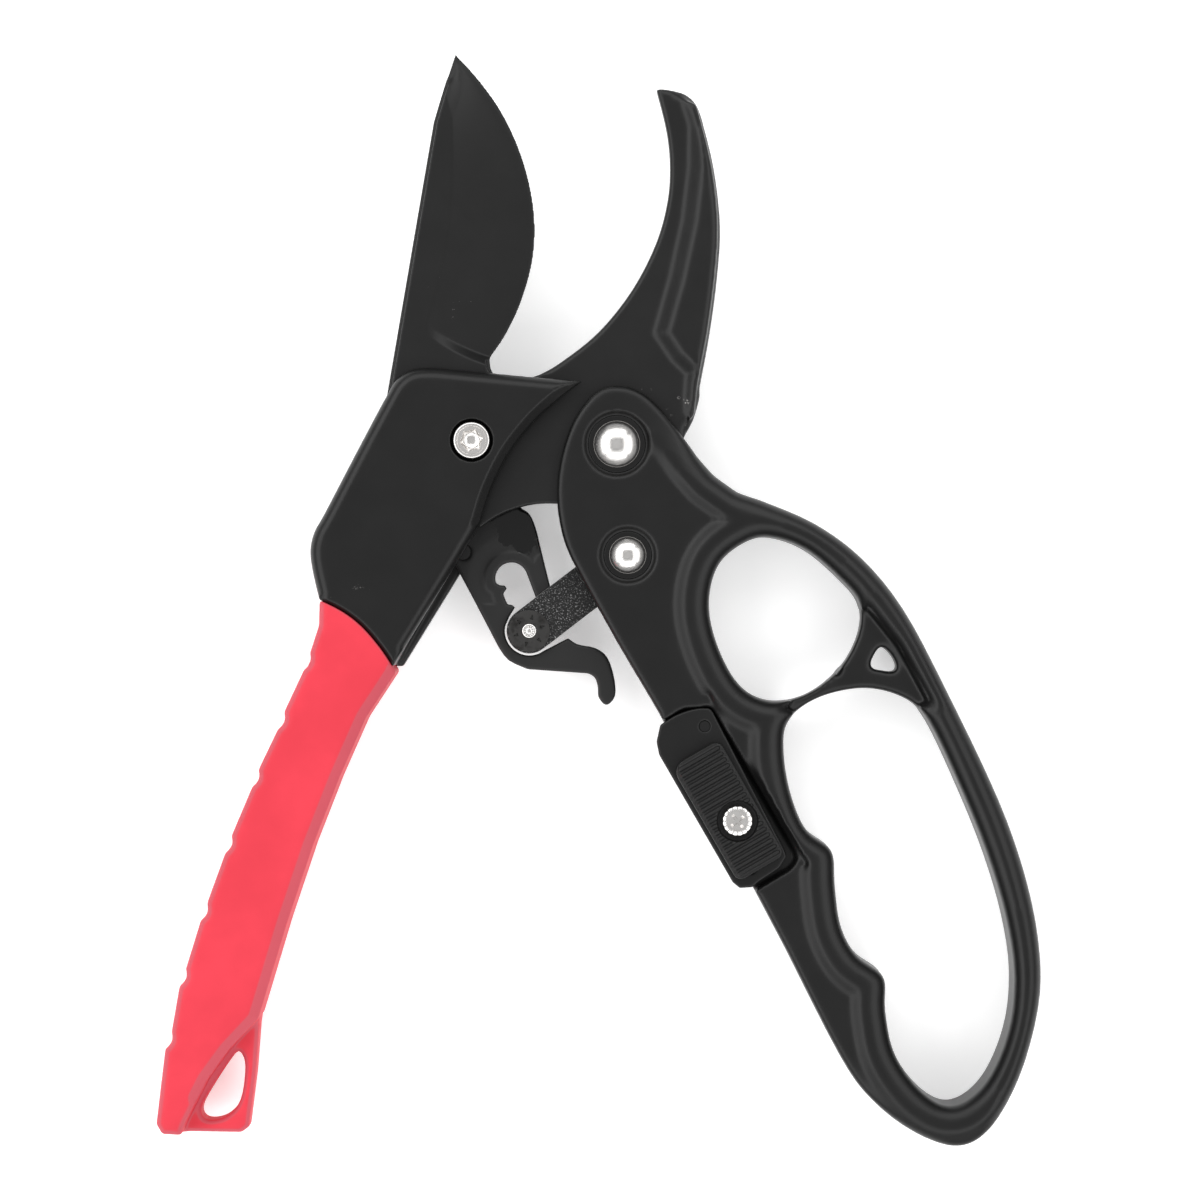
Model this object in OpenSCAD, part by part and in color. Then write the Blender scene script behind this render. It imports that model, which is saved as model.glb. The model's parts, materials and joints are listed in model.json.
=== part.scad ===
// Ratchet pruning shears, lying open on their back. The main pivot is on the Z axis, the blade
// points along +Y, the front faces +Z, and z = 0 is the surface that the tool lies on.

/* [Overall] */
// Main pivot to the tip of the blade
blade_reach = 73.6; // [62:0.2:90]
// Main pivot down to the end of the straight grip
grip_reach = 131.6; // [112:0.2:158]
// Main pivot down to the end of the loop handle
loop_reach = 134; // [118:0.2:160]

/* [Linkage] */
// Main pivot to the handle pivot
hook_arm = 27.5; // [26.5:0.1:29]
// Handle pivot to the link pivot
handle_arm = 21.2; // [20:0.1:23]
// Link pivot to the ratchet pin
link_arm = 23.7; // [22.6:0.1:24.6]

/* [Thicknesses] */
// Front ear of the fixed handle
housing_ear_t = 2.65; // [2:0.05:4]
// Blade at its thickest
blade_t = 2.4; // [1.6:0.05:3.4]
// Flat web of the hook
hook_t = 3.5; // [2.6:0.05:5]
// Each side plate of the link
link_t = 1.3; // [1:0.05:2]
// Ratchet plate
ratchet_t = 2.5; // [1.8:0.05:4]
// Back ear of the loop handle
fork_back_t = 1.8; // [1.4:0.05:3]
// How far the back rivet heads stand out
head_t = 0.6; // [0.4:0.05:1.2]
// Side play between plates that swing past each other
play = 0.15; // [0.1:0.01:0.25]

/* [Pins] */
// Shank of the main pivot screw
pivot_d = 5.9; // [4.6:0.1:7.2]
// Shank of the handle rivet
main_rivet_d = 6; // [4.8:0.1:7.4]
// Shank of the link rivet
link_rivet_d = 4; // [3:0.1:4.8]
// Pin that walks in the ratchet slot
ratchet_pin_d = 2.8; // [2.2:0.1:3.2]
// Radial clearance of every running fit
run_fit = 0.05; // [0.02:0.01:0.1]
// Wall of the bushes
bush_wall = 1; // [0.5:0.05:1.4]

/* [Lock] */
// Width of the lock's thumb pad
pad_w = 10.4; // [8:0.1:11]
// Length of the lock's thumb pad
pad_l = 25.2; // [20:0.1:26.5]
// Travel of the lock
lock_travel = 6.6; // [4:0.1:7.4]
// Thread of the lock's screw
lock_screw_d = 3; // [2.2:0.1:3.8]
// Cross ridges on the thumb pad
pad_ridges = 19; // [9:2:25]

/* [Springs] */
// Wire of the main torsion spring
spring_wire_d = 1.2; // [0.8:0.05:1.4]
// Wire of the link's torsion spring
link_wire_d = 0.8; // [0.5:0.05:1]

/* [Hidden] */
$fn = 64;
eps = 0.01;

black = "#1b1c1e";
steel = "silver";
red = "#e8384f";

// Layers from the back to the front, each worked out from the one beneath it.
fork_back_z = head_t + 0.4;
link_back_z = fork_back_z + fork_back_t + play;
ratchet_z = link_back_z + link_t + play;
link_front_z = ratchet_z + ratchet_t + play;
hook_z = link_front_z + link_t + play;
rub = 0.05;
blade_z = hook_z + hook_t + rub;
fork_front_z = blade_z + 0.1;
ear_z = blade_z + blade_t + 0.1;
fork_top_z = ear_z - 0.2;
front_z = ear_z + housing_ear_t;
rim_z = fork_top_z + 1.5;
back_ear_z = 0.5;

// Pivots.
P1 = [0, 0];
P2 = hook_arm * [cos(-1.2), sin(-1.2)];
P3 = P2 + handle_arm * [cos(-84.4), sin(-84.4)];
P4 = P3 + link_arm * [cos(217.5), sin(217.5)];

// Stretches that let the blade, the grip and the loop change length below or above a neck line.
neck_y = 14;
grip_neck_y = -44;
loop_neck_y = -88;
function stretch(p, y0, k) = (p.y - y0) * sign(k) > 0 ? [p.x, y0 + (p.y - y0) * abs(k)] : p;
blade_k = (blade_reach - neck_y) / (73.6 - neck_y);
grip_k = -(grip_reach + grip_neck_y) / (131.6 + grip_neck_y);
loop_k = -(loop_reach + loop_neck_y) / (134 + loop_neck_y);
function above(pts) = [for (p = pts) stretch(p, neck_y, blade_k)];
function along_grip(pts) = [for (p = pts) stretch(p, grip_neck_y, grip_k)];
function along_loop(pts) = [for (p = pts) stretch(p, loop_neck_y, loop_k)];

// Smooth curves through a few points: a closed loop, and a run with two free ends.
function between(a, b, c, d, t) =
    b + 0.5 * t * (c - a + t * (2 * a - 5 * b + 4 * c - d + t * (3 * (b - c) + d - a)));
function ring(p, n = 4) = let (m = len(p))
    [for (i = [0 : m - 1], k = [0 : n - 1])
        between(p[(i + m - 1) % m], p[i], p[(i + 1) % m], p[(i + 2) % m], k / n)];
function run(p, n = 4) = let (m = len(p))
    concat([for (i = [0 : m - 2], k = [0 : n - 1])
        between(p[max(i - 1, 0)], p[i], p[i + 1], p[min(i + 2, m - 1)], k / n)], [p[m - 1]]);
function arc(c, r, a0, a1, n = 12) =
    [for (i = [0 : n]) let (a = a0 + (a1 - a0) * i / n) c + r * [cos(a), sin(a)]];

// A closed outline moved inwards by d; the outline runs counter-clockwise.
function unit(v) = v / max(norm(v), eps / 10);
function inset(p, d) = let (m = len(p))
    [for (i = [0 : m - 1]) let (t = unit(unit(p[(i + 1) % m] - p[i]) + unit(p[i] - p[(i + m - 1) % m])))
        p[i] + d * [-t.y, t.x]];

// The same outline with repeated points dropped, and the outline the other way round.
function distinct(p) = let (m = len(p))
    [for (i = [0 : m - 1]) if (norm(p[i] - p[(i + 1) % m]) > 0.02) p[i]];
function reversed(p) = [for (i = [len(p) - 1 : -1 : 0]) p[i]];
function reversed_loop(p) = distinct(reversed(p));

module slab(outline, z0, z1) {
    translate([0, 0, z0]) linear_extrude(z1 - z0) polygon(outline);
}
// A plate with its rim stepped back, as a casting's rounded edge.
module cast(outline, z0, z1, soften) {
    rim = inset(outline, soften);
    slab(rim, z0, z0 + soften);
    slab(outline, z0 + soften, z1 - soften);
    slab(rim, z1 - soften, z1);
}
module disc(at, d, z0, z1) {
    translate([at.x, at.y, z0]) cylinder(d = d, h = z1 - z0);
}
// A low domed rivet head on the plane z0.
module dome(at, r, z0, rise) {
    sphere_r = (r * r + rise * rise) / (2 * rise);
    translate([at.x, at.y, z0]) intersection() {
        translate([0, 0, rise - sphere_r]) sphere(r = sphere_r, $fn = 96);
        cylinder(r = r, h = rise);
    }
}
// A slot as long as the lock's travel, upwards from a point in the lock's frame.
module travel_slot(at, w, z0, z1) {
    for (y = [0, lock_travel]) disc(at + [0, y], w, z0, z1);
    translate([at.x - w / 2, at.y, z0]) cube([w, lock_travel, z1 - z0]);
}
module coil(at, r, wire, z0, turns) {
    for (i = [0 : turns - 1])
        translate([at.x, at.y, z0 + wire * (i + 0.5)]) rotate_extrude() translate([r, 0])
            circle(d = wire - eps, $fn = 16);
}

// Outlines of the fixed handle. The collar is the line where the metal meets the grip.
collar = run([[-14.9, -42.9], [-17.2, -39.4], [-20.8, -35.2], [-24.6, -32.3], [-28.8, -30.2]]);
housing_left = run([[-29.3, -28.5], [-30.3, -24], [-30.6, -20.5], [-29.8, -17.2], [-28, -14], [-22, -2.5],
                    [-16.3, 8.2], [-14.2, 11.6], [-11, 13.6], [-6.5, 13.8]], 3);
housing_tip = [[21, 11.2]];
housing_arc = run([[18, 9.1], [12.2, 4], [7.1, -2.4], [3.6, -9.4], [1.7, -15.5]]);
front_ear_outline = reversed_loop(concat(collar, housing_left, [[8, 12.4]], housing_tip, housing_arc,
                    [[-3.2, -23.8]]));
back_ear_outline = reversed_loop(concat([[-13.6, -43]], collar, housing_left, [[2, 11]],
                   arc(P1, 6.8, 60, -50), [[-1.9, -24]]));
hub_r = 9;
hub_room = hub_r + 0.5;
core_outline = reversed_loop(concat([[-14.9, -42.9]], collar, housing_left, [[-8, 12]],
                arc(P1, hub_room, 125, 215), [[0.6, -17.2], [-4.6, -24]]));
grip_bar_outline = along_grip([[-19.5, -44], [-17.6, -36], [-25, -29.6], [-27.4, -36], [-49.2, -101],
                    [-43.8, -103.5]]);

// Outlines of the blade: the cutting edge, the heel, the hidden tang and the spine.
blade_edge = run(above([[-3.2, 73.6], [1, 69], [5.2, 63.2], [8.6, 56.3], [10.9, 48.8], [11.9, 41],
                        [11.3, 33.5], [9.1, 26], [6.2, 20], [3.6, 16.2]]));
blade_back = above([[-16.2, 8.6], [-7.3, 60.6]]);
blade_nose = run(above([[-7.3, 60.6], [-5.3, 67.3], [-3.2, 73.6]]), 3);
tang_r = 6;
tang = concat([[3.3, 15.5], [3.5, 13.8], [4.6, 11.6]], arc(P1, tang_r, 40, -140), [[-11, -10], [-18, 1]]);
blade_outline = reversed_loop(concat(blade_edge, tang, blade_back, blade_nose));
honed_w = 0.7;

// Outlines of the hook.
hook_edge = run(above([[13, 12.8], [17, 15.2], [24, 20.8], [30.4, 28.8], [35, 37.8], [37.2, 46],
                       [37.6, 53], [36.9, 59.4], [35, 67]]));
hook_nose = run(above([[35.6, 67.2], [39.8, 66.5], [42.4, 64.6], [43.7, 61.6]]), 3);
hook_back = run(above([[43.7, 61.6], [46, 52], [47.2, 41], [46.6, 31], [45.2, 20.5], [43.3, 10.3]]));
hook_heel = run([[43.3, 8.4], [42.2, 4.4], [40.4, 1]], 3);
hook_foot_c = [14.4, -31.9];
hook_foot = arc(hook_foot_c, 20.1, 84, 130, 8);
hook_outline = reversed_loop(concat(arc(P1, hub_r, 215, 80), hook_edge, hook_nose, hook_back, hook_heel,
               arc(P2, 11.6, -18, -82), hook_foot));
rib_inner = above([[40.3, 65], [41.9, 60], [41.8, 52], [40.6, 42], [38.2, 31], [35.2, 20.4],
                   [38.4, 15.6], [41.3, 12.8]]);
rib_outline = reversed_loop(concat(rib_inner, [[41, 8.6], [41.2, 3.8], [42.2, 5], [42.8, 10.6]],
              reversed(run(above([[42.6, 64], [45.6, 52], [46.7, 41], [46.1, 31], [44.7, 20.5]]), 3))));
panel_outline = reversed(above([[42.9, 55], [43.9, 45], [43.4, 35], [42.2, 22], [41, 15.4], [37, 20.4],
                [39.8, 31], [42, 42]]));
rib_t = 2.4;
panel_sink = 0.4;

// Outlines of the ratchet plate. Two teeth stand into the slot on its left side.
slot_c = [7.3, -26.1];
slot_r = 3.1;
pin_room = 4.75;
slot_left = [[6.9, -33.4], [8, -31.6], [7.3, -31], [6.6, -31.2], [5.7, -29], [6.45, -28], [6, -27.4],
             [5.1, -27.4]];
plate_tail = run([[22, -44.3], [23.3, -45.1], [23.9, -47], [24, -48.8], [25.5, -50.4], [27.2, -48.6],
                  [27, -45], [25.7, -41.2], [23.4, -39.4], [20, -38.7], [18.2, -37.5]], 3);
plate_head = run([[12.9, -32.2], [15.2, -32.6], [15.8, -31.4], [14.8, -27.8], [13, -20.5], [12, -16.4],
                  [10.8, -13.7], [9.2, -12.6]], 3);
ratchet_outline = distinct(concat([[-10, -12], [-3.2, -24], [0, -30], [4.8, -39.2]],
                  run([[4.8, -39.2], [6.8, -41.8], [10.5, -43.5]], 3), plate_tail, [[13.2, -40.1]],
                  arc(P4, pin_room, -60, -190), slot_left, arc(slot_c, slot_r, 195, 25),
                  plate_head, [[6, -5], [4, 5.4], [-4, 5.4]]));

// Outlines of the loop handle.
ear_run = run([[46, -6.6], [42.8, -3], [40.7, 0], [35.6, 6.5], [31.5, 9.7], [27.4, 10.6], [23.5, 9.4],
               [19.5, 4.5], [16.9, -2.5], [16, -10.5], [17.4, -19], [21, -26.6], [28.2, -39.5]]);
bow_run = run(along_loop([[59.8, -97], [70, -117], [76, -125.2], [84, -131.3], [92.3, -134],
                          [98.4, -130.6], [104, -121], [107.6, -108], [107.9, -97], [105.4, -83.5],
                          [100, -68], [90, -47], [82, -32], [74, -22.2], [65, -15.6], [55, -11.3]]));
loop_outline = distinct(concat([[50.5, -9.8]], ear_run, [[36.3, -53.2]], along_loop([[53.8, -85.6]]),
               bow_run));
ring_hole = ring([[53, -18.7], [58, -18.5], [64, -21], [70, -26.2], [73.7, -30.8], [73.6, -36.5],
                  [70.2, -43], [64, -48], [57, -49.5], [51, -46.6], [46.8, -39.3], [45, -31], [47, -23.2]]);
bow_hole = ring(along_loop([[60.2, -53], [66, -48.8], [74.5, -47], [82, -48.7], [86.6, -53], [93, -66.5],
                [98, -79], [101.5, -91], [103, -102], [101.8, -112.5], [97.6, -122], [91.5, -126.4],
                [85.6, -123.8], [80.3, -116.5], [78.5, -108], [78.2, -101.8], [73, -97.7], [70, -92],
                [68.9, -84], [68.3, -77.8], [63.4, -73.8], [60.4, -66.5], [59.2, -58.5]]));
window_hole = ring([[78, -39], [80.2, -41.2], [80.9, -43.8], [78, -43.6], [75.8, -43], [76.6, -40.6]], 3);
low_panel = reversed(along_loop([[10, 14], [36, 8], [41, -2], [46, -12], [47, -15.5], [42, -23],
            [40, -31], [42.2, -42],
            [47, -50], [57, -67], [63.8, -79.5], [65.2, -89], [71, -100], [74.4, -105], [77, -116],
            [84, -125.5], [91.5, -129.3], [97, -128], [101, -134], [90, -140], [60, -110], [28, -53],
            [12, -24]]));
web_panel = [[59, -50.4], [62, -52], [87, -50], [81, -39], [74.6, -31], [70, -44], [66, -46.8]];
fork_room = concat([[10, 14], [24, 14], [42, 6]], arc(P2, 13.6, 20, -60), [[36.5, -14], [36, -22],
            [36.4, -34], [41, -43.5], [46.5, -49.6], [52, -54], [56, -62], [58, -70], [56, -77],
            [44, -77], [10, -40]]);
web_z0 = ratchet_z + 0.6;
web_z1 = rim_z - 4.5;

// The lock's own frame: X across the handle, Y up along it, from a point on its inner edge.
lock_at = [35, -58.3];
lock_turn = 30;
module in_lock(x = 0, y = 0) {
    translate([lock_at.x, lock_at.y, 0]) rotate(lock_turn) translate([x, y, 0]) children();
}
lock_gap = 1.9;
pad_x = 0.7;
pad_y = -4.4;
pad_corner = 1.6;
pad_top_corner = 2.6;
screw_x = pad_x + pad_w / 2 + 0.5;
screw_y = pad_y - 0.6 * pad_l;
lock_well_w = pad_x + pad_w + lock_gap;
lock_floor_t = 2;
lock_floor_z = fork_front_z - lock_floor_t;
base_z = fork_front_z;
base_t = fork_top_z - fork_front_z;
pad_z = base_z + base_t + 0.1;
pad_t = 2.2;
ridge_t = 0.5;
ridge_inset = 0.7;
catch_t = 1.3;
catch_z = lock_floor_z - catch_t - play;
pad_right = pad_x + pad_w;
pad_foot = pad_y - pad_l;
pad_outline = concat(arc([pad_x + pad_corner, pad_foot + pad_corner], pad_corner, 180, 270, 4),
                     arc([pad_right - pad_corner, pad_foot + pad_corner], pad_corner, 270, 360, 4),
                     arc([pad_right - pad_corner, pad_y - pad_corner], pad_corner, 0, 90, 4),
                     arc([pad_x + pad_top_corner, pad_y - pad_top_corner], pad_top_corner, 90, 180, 5));
base_outline = concat([[-0.2, -1.4], [-0.2, -29.3], [0.4, -30.9], [2.6, -32], [4, -31.7]],
               [[lock_well_w - 4.2, -31.4], [pad_right, -30.2], [pad_right + 0.3, -28.8]],
               run([[lock_well_w - 0.3, 0], [lock_well_w - 0.6, 1.6], [lock_well_w - 3.5, 3],
                    [lock_well_w - 7, 3.6], [2.8, 3.4]], 3), [[0.6, 1]]);
well_outline = [[-2, -33.4], [2.8, -32.8], [5.4, -32.7], [lock_well_w - 2.4, -32.6],
               [lock_well_w - 0.3, -31.6], [lock_well_w, -29.6],
               [lock_well_w, 1.4], [lock_well_w - 0.8, 2], [lock_well_w - 5, 3.9], [2.6, 3.8], [-4, 1.6]];

// Sizes of the heads, washers and bores.
screw_head_d = 7;
screw_sink_d = 8;
screw_sink = 2.1;
nut_af = 10;
main_dome_r = 4.4;
link_dome_r = 3.5;
washer_t = 0.35;
main_sink_r = 6.1;
link_sink_r = 5.3;
sink_depth = 1.05;
link_w = 8.7;
dowel_d = 3;
dowel_deep = 4;
dowel_up = 1.4;
nut_t = 2.2;
grip_round = 1.5;
tab_inset = 5;
dowels = [[-11.5, 4], [-9.6, -6.6]];
plate_rivet_d = 3;
plate_head_t = 0.4;
plate_rivets = [[-6.4, -15], [-2, -21]];
catch_peg_d = 3;
// Seen from the lock's frame, with the lock open.
catch_peg_at = [9.3, 0.1 - 2 * lock_travel];

// The springs and small fittings of the lock.
spring_turns = 3;
spring_r = 6.2;
spring_z = link_back_z - play + 0.1;
spring_leg = 9;
spring_peg_at = P2 + (spring_r + 1.6) * [cos(120), sin(120)];
link_spring_r = 3.2;
link_spring_leg = 11;
base_pin_d = 2;
base_pins = [[lock_well_w - 3, -1], [4, -28.6]];
detent_d = 1.6;
detent_at = [3.4, -10];
screw_slot_w = lock_screw_d + 0.6;
pad_sink = 1.1;
pad_head_d = 6.2;

module link_plate(z0) {
    difference() {
        union() {
            disc(P3, link_w, z0, z0 + link_t);
            disc(P4, link_w, z0, z0 + link_t);
            translate([P4.x, P4.y, z0]) rotate(atan2(P3.y - P4.y, P3.x - P4.x))
                translate([0, -link_w / 2, 0]) cube([link_arm, link_w, link_t]);
        }
        disc(P3, link_rivet_d + 2 * (run_fit + bush_wall / 2), z0 - 1, z0 + link_t + 1);
        disc(P4, ratchet_pin_d, z0 - 1, z0 + link_t + 1);
    }
}

module fixed_handle() color(black) difference() {
    union() {
        slab(front_ear_outline, ear_z, front_z - 0.6);
        slab(inset(front_ear_outline, 0.6), front_z - 0.6, front_z);
        difference() {
            slab(core_outline, ratchet_z, ear_z);
            slab(inset(blade_outline, -run_fit), blade_z - rub, ear_z + 1);
            slab(inset(ratchet_outline, -run_fit), ratchet_z - 1, ratchet_z + ratchet_t + run_fit);
        }
        slab(back_ear_outline, back_ear_z, ratchet_z);
        slab(grip_bar_outline, ratchet_z + 0.2, ear_z - 0.2);
    }
    disc(P1, pivot_d, -1, front_z + 1);
    disc(P1, screw_sink_d, front_z - screw_sink, front_z + 1);
    translate([0, 0, -1]) cylinder(d = nut_af / cos(30) + 2 * run_fit, h = nut_t + 1, $fn = 6);
    for (d = dowels) disc(d, dowel_d, ear_z - dowel_deep, ear_z + dowel_up);
    for (r = plate_rivets) disc(r, plate_rivet_d, -1, ratchet_z + 1);
}

module blade() color(black) difference() {
    union() {
        slab(blade_outline, blade_z, blade_z + 0.45 * blade_t);
        slab(inset(blade_outline, honed_w), blade_z + 0.45 * blade_t, blade_z + blade_t);
    }
    disc(P1, pivot_d, blade_z - 1, ear_z + 1);
    for (d = dowels) disc(d, dowel_d, blade_z - 1, ear_z + 1);
}

module grip_sleeve() color(red) {
    notch = [[0, 0], [0.15, -0.9], [0.1, -1.7], [-0.35, -2.5], [-1.2, -3.3]];
    notch_at = [[-30.6, -40.2], [-35.5, -51.4], [-40.35, -62.3], [-45.45, -74.8], [-50.1, -87.6],
                [-54.1, -100], [-56.8, -111.9]];
    left = along_grip(concat([[-28.9, -35]], [for (at = notch_at, p = notch) at + p]));
    heel = [[-59.7, -129.4], [-58.6, -131.3]];
    right = along_grip([[-35, -91.5], [-30, -76.6], [-25, -63.8], [-20, -52.5], [-14.3, -43.8]]);
    slope = [[-55, -131.5], [-54, -129], [-50, -121], [-46, -115.5], [-40.4, -109.5]];
    tab = concat(collar, left,
                 along_grip(concat(heel, [[-44, -131.6], [-42.5, -130.5], [-41.2, -120],
                 [-40.4, -109.5]])), right);
    body = concat(collar, left, along_grip(concat(heel, slope)), right);
    face = concat(collar, along_grip([[-28, -33], [-29.6, -38], [-33, -49], [-40.6, -70], [-48.4, -92],
            [-54.6, -112], [-57.8, -129.6]]), along_grip(slope), along_grip([[-36, -91], [-31, -76],
            [-26, -63.4], [-21, -52.4], [-15.6, -44.2]]));
    hang_hole = ring(along_grip([[-44.3, -116.2], [-45.8, -117.4], [-49.4, -122.8], [-51.6, -127],
            [-50.6, -129.1], [-47, -128.6], [-44.2, -125.4], [-43.3, -119]]), 4);
    difference() {
        union() {
            slab(face, 0, grip_round);
            slab(body, grip_round, tab_inset);
            slab(tab, tab_inset, front_z - tab_inset);
            slab(body, front_z - tab_inset, front_z - grip_round);
            slab(face, front_z - grip_round, front_z);
        }
        slab(inset(grip_bar_outline, -run_fit), ratchet_z + 0.2 - run_fit, ear_z - 0.2 + run_fit);
        slab(hang_hole, -1, front_z + 1);
    }
}

module ratchet_plate() color(black) difference() {
    slab(ratchet_outline, ratchet_z, ratchet_z + ratchet_t);
    disc(P1, pivot_d, ratchet_z - 1, hook_z);
    for (r = plate_rivets) disc(r, plate_rivet_d, ratchet_z - 1, hook_z);
}

module pivot_screw() color(steel) difference() {
    union() {
        disc(P1, pivot_d, 0, front_z - screw_sink + eps);
        disc(P1, screw_head_d, front_z - screw_sink, front_z + 0.2);
    }
    translate([0, 0, front_z - 1.4]) cylinder(d = 4.6, h = 3, $fn = 6);
}

module pivot_nut() color(steel) difference() {
    cylinder(d = nut_af / cos(30), h = nut_t, $fn = 6);
    disc(P1, pivot_d, -1, nut_t + 1);
}

module thrust_washer() color(steel) difference() {
    disc(P1, 2 * tang_r + 1, ratchet_z + ratchet_t, hook_z - rub);
    disc(P1, pivot_d, ratchet_z, hook_z);
}

module blade_dowels() color(steel)
    for (d = dowels) disc(d, dowel_d, ear_z - dowel_deep, ear_z + dowel_up);

module ratchet_rivets() color(steel) for (r = plate_rivets) {
    disc(r, plate_rivet_d, back_ear_z - eps, ratchet_z + ratchet_t);
    disc(r, plate_rivet_d + 1.6, back_ear_z - plate_head_t, back_ear_z);
}

module hook() color(black) difference() {
    union() {
        slab(hook_outline, hook_z, hook_z + hook_t);
        slab(rib_outline, hook_z + hook_t, hook_z + hook_t + rib_t);
    }
    slab(panel_outline, hook_z + hook_t + rib_t - panel_sink, front_z + 1);
    disc(P1, pivot_d + 2 * (run_fit + bush_wall), hook_z - 1, front_z);
    disc(P2, main_rivet_d + 2 * run_fit, hook_z - 1, front_z);
    disc(spring_peg_at, spring_wire_d + 0.8, hook_z - 1, hook_z + 1.6);
}

module pivot_bush() color("#b08d57") difference() {
    disc(P1, pivot_d + 2 * (run_fit + bush_wall), hook_z, hook_z + hook_t);
    disc(P1, pivot_d + 2 * run_fit, hook_z - 1, ear_z);
}

module hook_spring_peg() color(steel)
    disc(spring_peg_at, spring_wire_d + 0.8, spring_z + spring_turns * spring_wire_d + 0.1, hook_z + 1.6);

module loop_handle() color(black) difference() {
    cast(loop_outline, 0, rim_z, 1.2);
    slab(low_panel, fork_top_z, rim_z + 1);
    slab(low_panel, -1, fork_back_z);
    slab(web_panel, web_z1, rim_z + 1);
    slab(web_panel, -1, web_z0);
    slab(ring_hole, -1, rim_z + 1);
    slab(bow_hole, -1, rim_z + 1);
    slab(window_hole, -1, rim_z + 1);
    // Room in the fork for the hook, the link, the springs and the ratchet plate's tail.
    difference() {
        slab(fork_room, link_back_z - play, fork_front_z);
        in_lock() slab([[-4, -40], [24, -40], [24, 5], [-4, 5]], lock_floor_z, fork_front_z + 1);
    }
    in_lock() slab(well_outline, base_z, rim_z + 1);
    // Slot for the lock's screw, and holes for the saddle's pins.
    in_lock() {
        travel_slot([screw_x, screw_y], screw_slot_w, catch_z - 1, rim_z);
        for (p = base_pins) disc(p, base_pin_d, lock_floor_z - eps, base_z + 1);
    }
    disc(P2, main_rivet_d, -1, rim_z);
    disc(P2, 2 * main_sink_r, fork_top_z - sink_depth, rim_z + 1);
    disc(P3, link_rivet_d, -1, rim_z);
    disc(P3, 2 * link_sink_r, fork_top_z - sink_depth, rim_z + 1);
}

module rivet(at, d, dome_r, rise) {
    washer_top = fork_top_z - sink_depth + washer_t;
    disc(at, d, head_t - eps, washer_top + eps);
    dome(at, dome_r, washer_top, rise);
    disc(at, d + 2.4, 0, head_t);
}
module main_rivet() color(steel) rivet(P2, main_rivet_d, main_dome_r, 2.2);
module link_rivet() color(steel) rivet(P3, link_rivet_d, link_dome_r, 1.9);

module washers(at, bore, r) {
    for (z = [head_t, fork_top_z - sink_depth]) difference() {
        disc(at, 2 * r, z, z + (z > head_t ? washer_t : fork_back_z - head_t));
        disc(at, bore, z - 1, z + 1);
    }
}
module main_rivet_washers() color("#2b2c2e") washers(P2, main_rivet_d, main_dome_r + 1);
module link_rivet_washers() color("#2b2c2e") washers(P3, link_rivet_d, link_dome_r + 1);

module spring_spool() color(steel) difference() {
    disc(P2, 2 * (spring_r - spring_wire_d / 2 - 0.4), link_back_z - play, hook_z - rub);
    disc(P2, main_rivet_d, 0, ear_z);
}

module main_spring() color(steel) {
    coil(P2, spring_r, spring_wire_d, spring_z, spring_turns);
    leg_z = spring_z + spring_wire_d / 2;
    translate([P2.x + spring_r, P2.y, leg_z]) rotate([90, 0, 0])
        cylinder(d = spring_wire_d, h = spring_leg, $fn = 16);
    translate([P2.x, P2.y, leg_z + 2 * spring_wire_d]) rotate([0, 0, 120]) translate([0, spring_r, 0])
        rotate([0, 90, 0]) cylinder(d = spring_wire_d, h = 6.4, $fn = 16);
}

module lock_base() color(black) in_lock() difference() {
    slab(base_outline, base_z, base_z + base_t);
    travel_slot([screw_x, screw_y], screw_slot_w, base_z - 1, rim_z);
    for (p = base_pins) disc(p, base_pin_d, base_z - 1, rim_z);
    disc(detent_at, detent_d + 2 * run_fit, base_z - 1, rim_z);
}
module lock_base_pins() color(steel) in_lock()
    for (p = base_pins) disc(p, base_pin_d, lock_floor_z + 0.2, base_z + base_t);
module lock_detent_ball() color(steel) in_lock()
    translate([detent_at.x, detent_at.y, base_z + base_t - detent_d / 2 - 0.02])
        sphere(d = detent_d, $fn = 32);

module lock_pad() color(black) in_lock() {
    pitch = pad_l / (pad_ridges + 1);
    difference() {
        union() {
            slab(pad_outline, pad_z, pad_z + pad_t);
            for (i = [1 : pad_ridges])
                translate([pad_x + ridge_inset, pad_y - i * pitch - pitch / 4, pad_z + pad_t - eps])
                    cube([pad_w - 2 * ridge_inset, pitch / 2, ridge_t]);
        }
        disc([screw_x, screw_y], lock_screw_d, pad_z - 1, front_z + 3);
        disc([screw_x, screw_y], pad_head_d + 1.6, pad_z + pad_t - pad_sink, front_z + 3);
    }
}

module lock_screw() color(steel) in_lock() difference() {
    union() {
        disc([screw_x, screw_y], lock_screw_d, catch_z, pad_z + pad_t - pad_sink + eps);
        disc([screw_x, screw_y], pad_head_d, pad_z + pad_t - pad_sink, pad_z + pad_t + 0.4);
    }
    for (a = [0, 90]) translate([screw_x, screw_y, pad_z + pad_t + 0.2]) rotate(a)
        cube([3.4, 0.7, 1.6], center = true);
}

module lock_catch() color(steel) in_lock() {
    screw_at = [screw_x, screw_y];
    reach = catch_peg_at - screw_at;
    difference() {
        union() {
            disc(screw_at, 6.4, catch_z, catch_z + catch_t);
            disc(catch_peg_at, catch_peg_d + 1, catch_z, catch_z + catch_t);
            translate([screw_x, screw_y, catch_z]) rotate(atan2(reach.y, reach.x))
                translate([0, -2, 0]) cube([norm(reach), 4, catch_t]);
            disc(catch_peg_at, catch_peg_d, ratchet_z, catch_z + eps);
        }
        disc(screw_at, lock_screw_d, 0, front_z);
    }
}

module link_front() color(black) link_plate(link_front_z);
module link_back() color(black) link_plate(link_back_z);

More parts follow.
